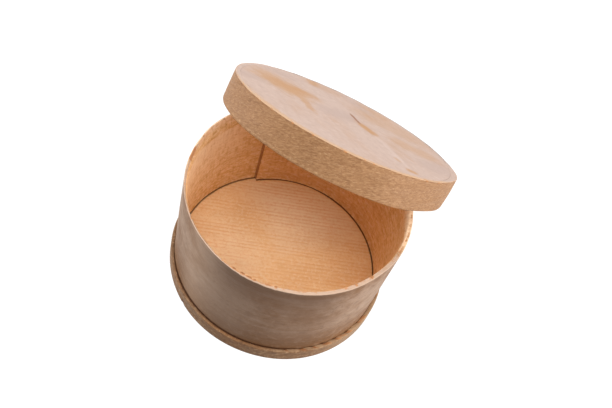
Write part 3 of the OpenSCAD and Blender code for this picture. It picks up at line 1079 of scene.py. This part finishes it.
def make_lid_board_wood(colours):
    """Lid board: dry and pale on top, with tan patches, grey blotches and one crack, clean underneath."""
    wood = Wood("lid_board_wood", colours)
    grain = wood.group("board grain", wood.position, math.radians(-50.0), 5.2 * MM, 5.0 * MM)
    handled = wood.group("handling marks", wood.position, 34.0, 600.0, 300.0, 300.0)
    lining = wood.layers(
        "inside",
        (grain["Line"], 0.5, "inside_dark"),
        (grain["Pore"], 0.5, "inside_dark"),
        (handled["Light"], 0.5, "inside_pale"),
    )
    strokes = [(wood.stroke(*shape), strength, name) for name, strength, *shape in LID_MARKS]
    crack = wood.stroke(*LID_CRACK)
    base = wood.layers(
        "lid",
        (grain["Line"], 0.10, "lid_line"),
        (wood.remap(grain["Cloud"], 0.52, 0.74), 0.30, "lid_streak"),
        (handled["Dark"], 0.30, "lid_line"),
        (handled["Light"], 0.40, "lid_pale"),
        (handled["Speck"], 0.2, "lid_line"),
        *strokes,
        (crack, 0.75, "seam"),
        (wood.ragged("wear", 0.7), 0.75, "band_edge"),
        (wood.mark("inside"), 1.0, lining),
        (wood.ragged("grime", 0.35), 0.5, "seam"),
    )
    height = wood.maths("SUBTRACT", grain["Height"], wood.times(crack, 1.5))
    return wood.finish(base, grain["Cloud"], (0.60, 0.76), height, 0.08 * MM)


def place_piece(name, mesh, wood, body, node, place=None):
    """Links a piece where the CAD has it, on its body and in the stead of its node."""
    mesh.materials.append(wood)
    piece = bpy.data.objects.new(name, mesh)
    bpy.context.scene.collection.objects.link(piece)
    if place is not None:
        piece.matrix_world = place
    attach(piece, body)
    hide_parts(node)


def lid_place(scene):
    """Where the open lid rests: over the back of the rim, with its front raised."""
    box, lid = scene.bentbox_sizes, scene.bentbox_lid
    rim = Matrix.Translation((lid.side, box.wall_radius, box.wall_height))
    slope = Matrix.Rotation(-lid.tilt, 4, "X")
    along = Matrix.Translation((0.0, -lid.reach, lid.rest_gap))
    return rim @ slope @ along


class BENTBOX_OT_wall(bpy.types.Operator):
    """Build the bent wall strip with its lap and worn rim."""

    bl_idname = "bentbox.wall"
    bl_label = "Build wall"

    def execute(self, context):
        sizes = context.scene.bentbox_sizes
        ring = closed_ring(WALL_COLUMNS, sizes.lap_end, sizes.lap_outer_end)
        shape_wall(ring, sizes)
        wood = make_wall_wood(context.scene.bentbox_colours)
        place_piece("bent_wall", ring.mesh("bent_wall"), wood, "box", "box_wall")
        return {"FINISHED"}


class BENTBOX_OT_floor(bpy.types.Operator):
    """Build the floor board."""

    bl_idname = "bentbox.floor"
    bl_label = "Build floor"

    def execute(self, context):
        sizes = context.scene.bentbox_sizes
        ring = closed_ring(BOARD_COLUMNS, sizes.lap_end)
        shape_floor(ring, sizes)
        mesh = ring.mesh("floor_board", capped=True)
        wood = make_floor_wood(context.scene.bentbox_colours)
        place_piece("floor_board", mesh, wood, "box", "box_floor")
        return {"FINISHED"}


class BENTBOX_OT_hoop(bpy.types.Operator):
    """Build the foot hoop with its worn edge and scarfed joint."""

    bl_idname = "bentbox.hoop"
    bl_label = "Build foot hoop"

    def execute(self, context):
        sizes = context.scene.bentbox_sizes
        ring = open_strip(sizes.hoop_joint, sizes.hoop_radius)
        shape_hoop(ring, sizes)
        mesh = ring.mesh("foot_strip", joint_slant=JOINT_SLANT)
        wood = make_hoop_wood(context.scene.bentbox_colours)
        place_piece("foot_strip", mesh, wood, "box", "foot_hoop")
        return {"FINISHED"}


class BENTBOX_OT_lid_band(bpy.types.Operator):
    """Build the bent band of the lid with its scarfed joint."""

    bl_idname = "bentbox.lid_band"
    bl_label = "Build lid band"

    def execute(self, context):
        lid = context.scene.bentbox_lid
        ring = open_strip(lid.band_joint, lid.band_radius)
        shape_lid_band(ring, lid)
        mesh = ring.mesh("lid_strip", joint_slant=JOINT_SLANT)
        wood = make_lid_band_wood(context.scene.bentbox_colours)
        place_piece("lid_strip", mesh, wood, "lid", "lid_band", lid_place(context.scene))
        return {"FINISHED"}


class BENTBOX_OT_lid_board(bpy.types.Operator):
    """Build the round board set into the lid band."""

    bl_idname = "bentbox.lid_board"
    bl_label = "Build lid board"

    def execute(self, context):
        lid = context.scene.bentbox_lid
        ring = closed_ring(BOARD_COLUMNS)
        shape_lid_board(ring, lid)
        mesh = ring.mesh("lid_board", capped=True)
        wood = make_lid_board_wood(context.scene.bentbox_colours)
        place_piece("lid_board", mesh, wood, "lid", "lid_disc", lid_place(context.scene))
        return {"FINISHED"}


def make_lamp(name, place, size, watts):
    """A square soft lamp that faces the box."""
    light = bpy.data.lights.new(name, "AREA")
    light.shape = "SQUARE"
    light.size = size
    light.energy = watts
    holder = bpy.data.objects.new(name, light)
    bpy.context.scene.collection.objects.link(holder)
    holder.location = place
    holder.rotation_mode = "QUATERNION"
    holder.rotation_quaternion = (Vector(LAMP_TARGET) - Vector(place)).to_track_quat("-Z", "Y")


def seen_directly(bench):
    """1 for rays that show the background itself: from the camera, or by way of gloss or glass."""
    path = bench.node("ShaderNodeLightPath", {})
    either = bench.maths("MAXIMUM", path["Is Glossy Ray"], path["Is Transmission Ray"])
    return bench.maths("MAXIMUM", path["Is Camera Ray"], either)


def make_stage_floor(settings):
    """Pale floor that looks white and keeps a faint shadow of the box."""
    paper = bpy.data.materials.new("pale_floor")
    paper.use_nodes = True
    paper.node_tree.nodes.clear()
    bench = Bench(paper.node_tree)
    plain = bench.node("ShaderNodeBsdfDiffuse", {"Color": tuple(settings.floor)})[0]
    shade = bench.node("ShaderNodeBsdfDiffuse", {"Color": STAGE_SHADE})[0]
    glow = bench.node("ShaderNodeEmission", {"Color": WHITE, "Strength": STAGE_GLOW})[0]
    bright = bench.node("ShaderNodeAddShader", {0: shade, 1: glow})[0]
    surface = bench.node("ShaderNodeMixShader", {0: seen_directly(bench), 1: plain, 2: bright})[0]
    bench.node("ShaderNodeOutputMaterial", {"Surface": surface})
    mesh = bpy.data.meshes.new("pale_floor")
    half = STAGE_HALF
    points = [(-half, -half, 0.0), (half, -half, 0.0), (half, half, 0.0), (-half, half, 0.0)]
    mesh.from_pydata(points, [], [(0, 1, 2, 3)])
    mesh.materials.append(paper)
    sheet = bpy.data.objects.new("pale_floor", mesh)
    sheet.location.z = -0.05 * MM
    bpy.context.scene.collection.objects.link(sheet)


def make_room(settings):
    """Even light from all round, behind which the background is white."""
    world = bpy.data.worlds.new("pale_room")
    bpy.context.scene.world = world
    world.use_nodes = True
    world.node_tree.nodes.clear()
    bench = Bench(world.node_tree)
    sockets = {0: seen_directly(bench), 3: settings.ambient, 4: 1.0}
    strength = bench.node("ShaderNodeMapRange", sockets)[0]
    light = bench.node("ShaderNodeBackground", {"Color": WHITE, "Strength": strength})[0]
    bench.node("ShaderNodeOutputWorld", {"Surface": light})


def make_camera(settings):
    """Camera at the photograph's view."""
    right = Vector(CAMERA_RIGHT)
    up = Vector(CAMERA_UP)
    back = right.cross(up).normalized()
    view = bpy.data.cameras.new("photo_view")
    view.sensor_fit = "HORIZONTAL"
    view.sensor_width = 36.0
    view.lens = settings.lens
    view.clip_start = 0.01
    view.clip_end = 20.0
    camera = bpy.data.objects.new("photo_view", view)
    bpy.context.scene.collection.objects.link(camera)
    turn = Matrix((right, up, back)).transposed().to_4x4()
    camera.matrix_world = Matrix.Translation(CAMERA_PLACE) @ turn
    bpy.context.scene.camera = camera


class BENTBOX_OT_stage(bpy.types.Operator):
    """Set the pale floor, the soft lamps and the camera."""

    bl_idname = "bentbox.stage"
    bl_label = "Set stage"

    def execute(self, context):
        settings = context.scene.bentbox_stage
        make_stage_floor(settings)
        make_room(settings)
        make_camera(settings)
        for name, place, size in LAMPS:
            make_lamp(f"{name}_lamp", place, size, getattr(settings, name))
        context.scene.view_settings.view_transform = "Standard"
        return {"FINISHED"}


class BENTBOX_PT_panel(bpy.types.Panel):
    """Sidebar panel with the sizes, the colours and the steps of the build."""

    bl_idname = "BENTBOX_PT_panel"
    bl_label = "Bentwood box"
    bl_space_type = "VIEW_3D"
    bl_region_type = "UI"
    bl_category = "Bentwood box"

    def draw(self, context):
        for name, group in SETTINGS.items():
            box = self.layout.box()
            for key in group.__annotations__:
                box.prop(getattr(context.scene, name), key)
        for operator in BUILD_ORDER:
            self.layout.operator(operator.bl_idname)


BUILD_ORDER = (
    BENTBOX_OT_wall,
    BENTBOX_OT_floor,
    BENTBOX_OT_hoop,
    BENTBOX_OT_lid_band,
    BENTBOX_OT_lid_board,
    BENTBOX_OT_stage,
)
SETTINGS = {
    "bentbox_sizes": BoxSizes,
    "bentbox_lid": LidSizes,
    "bentbox_colours": WoodColours,
    "bentbox_stage": StageSettings,
}


def register():
    """Adds the settings, the operators and the panel to Blender."""
    for name, group in SETTINGS.items():
        bpy.utils.register_class(group)
        setattr(bpy.types.Scene, name, PointerProperty(type=group))
    for operator in BUILD_ORDER:
        bpy.utils.register_class(operator)
    bpy.utils.register_class(BENTBOX_PT_panel)


def unregister():
    """Takes them out again."""
    bpy.utils.unregister_class(BENTBOX_PT_panel)
    for operator in reversed(BUILD_ORDER):
        bpy.utils.unregister_class(operator)
    for name, group in reversed(SETTINGS.items()):
        delattr(bpy.types.Scene, name)
        bpy.utils.unregister_class(group)


def main():
    register()
    bpy.ops.bentbox.wall()
    bpy.ops.bentbox.floor()
    bpy.ops.bentbox.hoop()
    bpy.ops.bentbox.lid_band()
    bpy.ops.bentbox.lid_board()
    bpy.ops.bentbox.stage()


if __name__ == "__main__":
    main()
